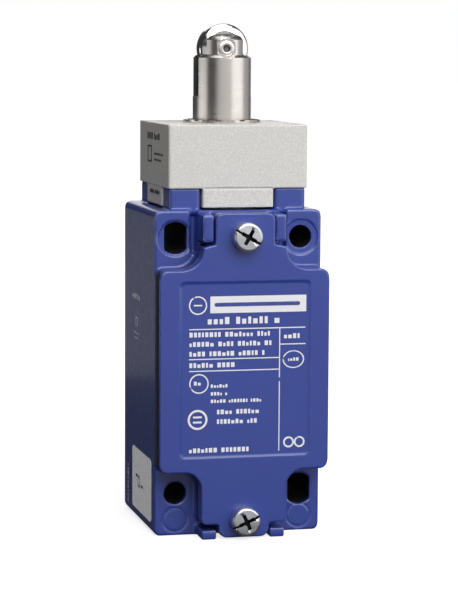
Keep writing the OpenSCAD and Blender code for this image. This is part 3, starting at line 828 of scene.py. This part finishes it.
def helix(name, mean_r, wire_r, start, end, turns, sides=10, per_turn=28):
    """A round-wire spring about the plunger axis with flat-lying end turns."""
    verts, faces = [], []
    rise = end - start - 2 * wire_r
    steps = int(turns * per_turn)

    def height(t):
        """Height at t turns: the first and last turn lie flat."""
        if t < 1:
            return wire_r * t * t
        if t > turns - 1:
            return rise - wire_r * (turns - t) ** 2
        return wire_r + (t - 1) * (rise - 2 * wire_r) / (turns - 2)

    for i in range(steps + 1):
        a = math.tau * i / per_turn
        for k in range(sides):
            b = math.tau * k / sides
            r = mean_r + wire_r * math.cos(b)
            z = start + wire_r + height(i / per_turn) + wire_r * math.sin(b)
            verts.append((r * math.cos(a), AXIS_Y + r * math.sin(a), z))
    for i in range(steps):
        for k in range(sides):
            a, b = i * sides + k, i * sides + (k + 1) % sides
            faces.append((a, a + sides, b + sides, b))
    faces += [tuple(range(sides)), tuple(steps * sides + k for k in reversed(range(sides)))]
    return mesh_from(name, verts, faces)


def make_springs(wire):
    """Each spring is a coil wound between the ends of its CAD node."""
    for node, joint, body, mean_r, wire_r, turns in (
            ("plunger_spring", "plunger_slide", "housing", 4.3, 0.5, 9),
            ("contact_return_spring", "carrier_slide", "housing", 2.7, 0.25, 6),
            ("overtravel_spring", "carrier_slide", "contact_carrier", 2.3, 0.18, 3)):
        start, end = low(node).z, high(node).z
        coil = helix(node + "_coil", mean_r, wire_r, start, end, turns)
        piece = add_piece(node + "_coil", coil, body, wire, [node])
        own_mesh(piece)


# ---------- print and marks ----------

class Print:
    """Thin printed or cast marks on a flat face. Marks are drawn in (u, v) millimetres on the face."""

    def __init__(self, thickness):
        self.work = bmesh.new()
        self.thickness = thickness

    def outline(self, points):
        """One closed flat mark as a thin slab."""
        verts = [self.work.verts.new((u, v, 0)) for u, v in points]
        face = self.work.faces.new(verts)
        top = bmesh.ops.extrude_face_region(self.work, geom=[face])["geom"]
        moved = [v for v in top if isinstance(v, bmesh.types.BMVert)]
        bmesh.ops.translate(self.work, verts=moved, vec=(0, 0, self.thickness))

    def bar(self, u, v, width, height, r=0.12):
        """A bar with round corners, from its left end and its middle line."""
        r = min(r, width / 2.01, height / 2.01)
        corners = ((u + width - r, v + height / 2 - r, 0), (u + r, v + height / 2 - r, 90),
                   (u + r, v - height / 2 + r, 180), (u + width - r, v - height / 2 + r, 270))
        points = []
        for cu, cv, start in corners:
            for k in range(5):
                a = math.radians(start + k * 22.5)
                points.append((cu + r * math.cos(a), cv + r * math.sin(a)))
        self.outline(points)

    def ring(self, u, v, radius, line, squeeze=1.0, steps=40):
        """A round or, with squeeze, oval ring, as a strip of slabs."""
        for k in range(steps):
            a, b = math.tau * k / steps, math.tau * (k + 1) / steps
            inner, outer = radius - line, radius
            self.outline([(u + inner * math.cos(a), v + squeeze * inner * math.sin(a)),
                          (u + outer * math.cos(a), v + squeeze * outer * math.sin(a)),
                          (u + outer * math.cos(b), v + squeeze * outer * math.sin(b)),
                          (u + inner * math.cos(b), v + squeeze * inner * math.sin(b))])

    def row(self, u, v, width, height, rng):
        """A row of plain dashes that fills width, with a wider space now and then."""
        end, since = u + width, 0
        while u < end - height * 0.4:
            dash = min(height * rng.uniform(0.3, 0.55), end - u)
            tall = height * rng.choice((0.72, 0.72, 0.52))
            self.bar(u, v + (tall - height * 0.72) / 2, dash, tall, 0.1)
            since += 1
            space = 0.7 if since > rng.randint(3, 8) else 0.2
            since = 0 if space > 0.5 else since
            u += dash + height * space

    def mesh(self, name, matrix):
        bmesh.ops.remove_doubles(self.work, verts=self.work.verts, dist=0.0005)
        bmesh.ops.recalc_face_normals(self.work, faces=self.work.faces)
        mesh = bpy.data.meshes.new(name)
        self.work.to_mesh(mesh)
        self.work.free()
        mesh.transform(matrix @ Matrix.Scale(MM, 4))
        return mesh


def on_front(y):
    """The face that looks to the front at depth y: u is X, v is Z."""
    return Matrix.Translation(mm(0, y, 0)) @ Matrix.Rotation(math.radians(90), 4, "X")


def on_left(x):
    """The face that looks to the left at x: u runs to the front, v up."""
    turn = Matrix(((0, 0, -1), (-1, 0, 0), (0, 1, 0))).to_4x4()
    return Matrix.Translation(mm(x, 0, 0)) @ turn


def make_cover_print(looks):
    rng = random.Random(11)
    white = Print(0.03)
    white.bar(-8.3, 15.1, 22.9, 3.9, 0.15)
    white.ring(-11.2, 15.0, 2.15, 0.3)
    white.bar(-12.2, 15.0, 2.0, 0.32)
    white.row(-8.9, 11.4, 18.3, 2.3, rng)
    for u, v, width in ((-13.3, 9.45, 27.8), (-13.3, 2.5, 21.5), (-13.3, -0.25, 21.5), (8.4, 5.6, 6.1)):
        white.bar(u, v, width, 0.24)
    for v, height in ((3.6, 11.6), (-11.3, 16.4)):
        white.bar(8.15, v, 0.24, height)
    for v, width in ((8.2, 19.5), (6.0, 20.3), (3.75, 18.4), (1.1, 10.8)):
        white.row(-13.2, v, width, 1.55, rng)
    white.row(9.3, 7.5, 4.2, 1.6, rng)
    white.ring(-10.9, -3.2, 2.3, 0.3)
    white.row(-12.1, -3.1, 2.3, 1.3, rng)
    for v, width in ((-3.8, 4.6), (-5.6, 4.2), (-7.35, 12.2)):
        white.row(-8.1, v, width, 1.1, rng)
    white.ring(-11.2, -11.6, 2.35, 0.5)
    white.bar(-12.3, -11.0, 2.1, 0.45)
    white.bar(-12.3, -12.2, 2.1, 0.45)
    for v, width in ((-9.9, 10.9), (-12.15, 9.7)):
        white.row(-6.6, v, width, 1.5, rng)
    white.row(-13.2, -18.8, 14.7, 1.5, rng)
    white.ring(11.6, 2.0, 2.6, 0.3, 0.8)
    white.row(10.3, 2.0, 2.6, 1.1, rng)
    white.ring(10.6, -17.5, 1.3, 0.4)
    white.ring(13.2, -17.5, 1.3, 0.4)
    mesh = white.mesh("cover_print", on_front(PANEL_Y))
    add_piece("cover_print", mesh, "housing", looks["ink"], crease=30)
    blue = Print(0.02)
    blue.bar(-7.3, 15.1, 20.4, 0.9, 0.4)
    mesh = blue.mesh("panel_line", on_front(PANEL_Y - 0.035))
    add_piece("panel_line", mesh, "housing", looks["blue_ink"], crease=30)


def make_side_marks(looks):
    rng = random.Random(5)
    cast = Print(0.1)
    cast.row(10.2, 14.2, 9.8, 1.7, rng)
    cast.ring(15.6, 8.2, 1.3, 0.35)
    cast.bar(12.3, 5.4, 6.0, 0.35)
    cast.bar(13.6, 4.2, 3.4, 0.35)
    add_piece("side_marks", cast.mesh("side_marks", on_left(BODY_SIDE + 0.02)), "housing",
              looks["pale_ink"], crease=30)
    dots = Print(0.06)
    for k in range(9):
        dots.bar(4.6, -28.6 - 1.1 * k, 0.9, 0.5 + 0.2 * (k % 3))
    add_piece("side_dots", dots.mesh("side_dots", on_left(BODY_SIDE + 0.02)), "housing",
              looks["pale_ink"], crease=30)
    sticker = Print(0.02)
    sticker.ring(19.3, -30.3, 1.5, 0.45)
    sticker.bar(15.6, -29.2, 2.0, 0.7)
    sticker.bar(21.6, -31.0, 2.4, 0.6)
    add_piece("sticker_print", sticker.mesh("sticker_print", on_left(low("side_label").x + 0.005)), "housing",
              looks["grey_ink"])
    head = Print(0.04)
    head.row(11.6, 53.0, 14.6, 2.2, rng)
    for u in (12.0, 16.0):
        head.bar(u, 48.7, 0.8, 3.9)
    for v in (50.5, 46.9):
        head.bar(12.0, v, 4.8, 0.4)
    head.row(19.6, 48.9, 11.0, 0.8, rng)
    head.row(19.6, 47.5, 9.0, 0.8, rng)
    head.row(14.7, 39.9, 11.8, 1.3, rng)
    side = low("head_housing").x
    add_piece("head_marks", head.mesh("head_marks", on_left(side + 0.01)), "housing",
              looks["grey_ink"])


# ---------- pieces that stay as the frame has them ----------

def dress_frame(looks):
    """Every CAD node gets its slot's finish, and those still shown get fine rounded edges."""
    slots = {s["node"]: s["material_slot"] for s in frame["record"]["subparts"]}
    for name, node in frame["nodes"].items():
        node.data.materials.clear()
        node.data.materials.append(looks[slots[name]])
        if node.hide_render:
            continue
        bevel = node.modifiers.new("edges", "BEVEL")
        bevel.width = 0.08 * MM
        bevel.segments = 2
        bevel.limit_method = "ANGLE"
        bevel.angle_limit = math.radians(40)
        bevel.harden_normals = True


bpy.context.scene.view_settings.view_transform = "Standard"
make_camera()
make_world()
make_lights()
make_backdrop()
LOOKS = make_materials()
make_casing(LOOKS["body_paint"], LOOKS["bore_painted_shade"], LOOKS["head_zamak"])
make_entry_thread(LOOKS["body_paint"])
make_screws([LOOKS["zinc_steel"], LOOKS["recess_painted_shade"]])
make_plunger([LOOKS["turned_steel"], LOOKS["painted_shade_steel"]], LOOKS["ground_steel"])
make_springs(LOOKS["spring_steel"])
make_cover_print(LOOKS)
make_side_marks(LOOKS)
dress_frame(LOOKS)
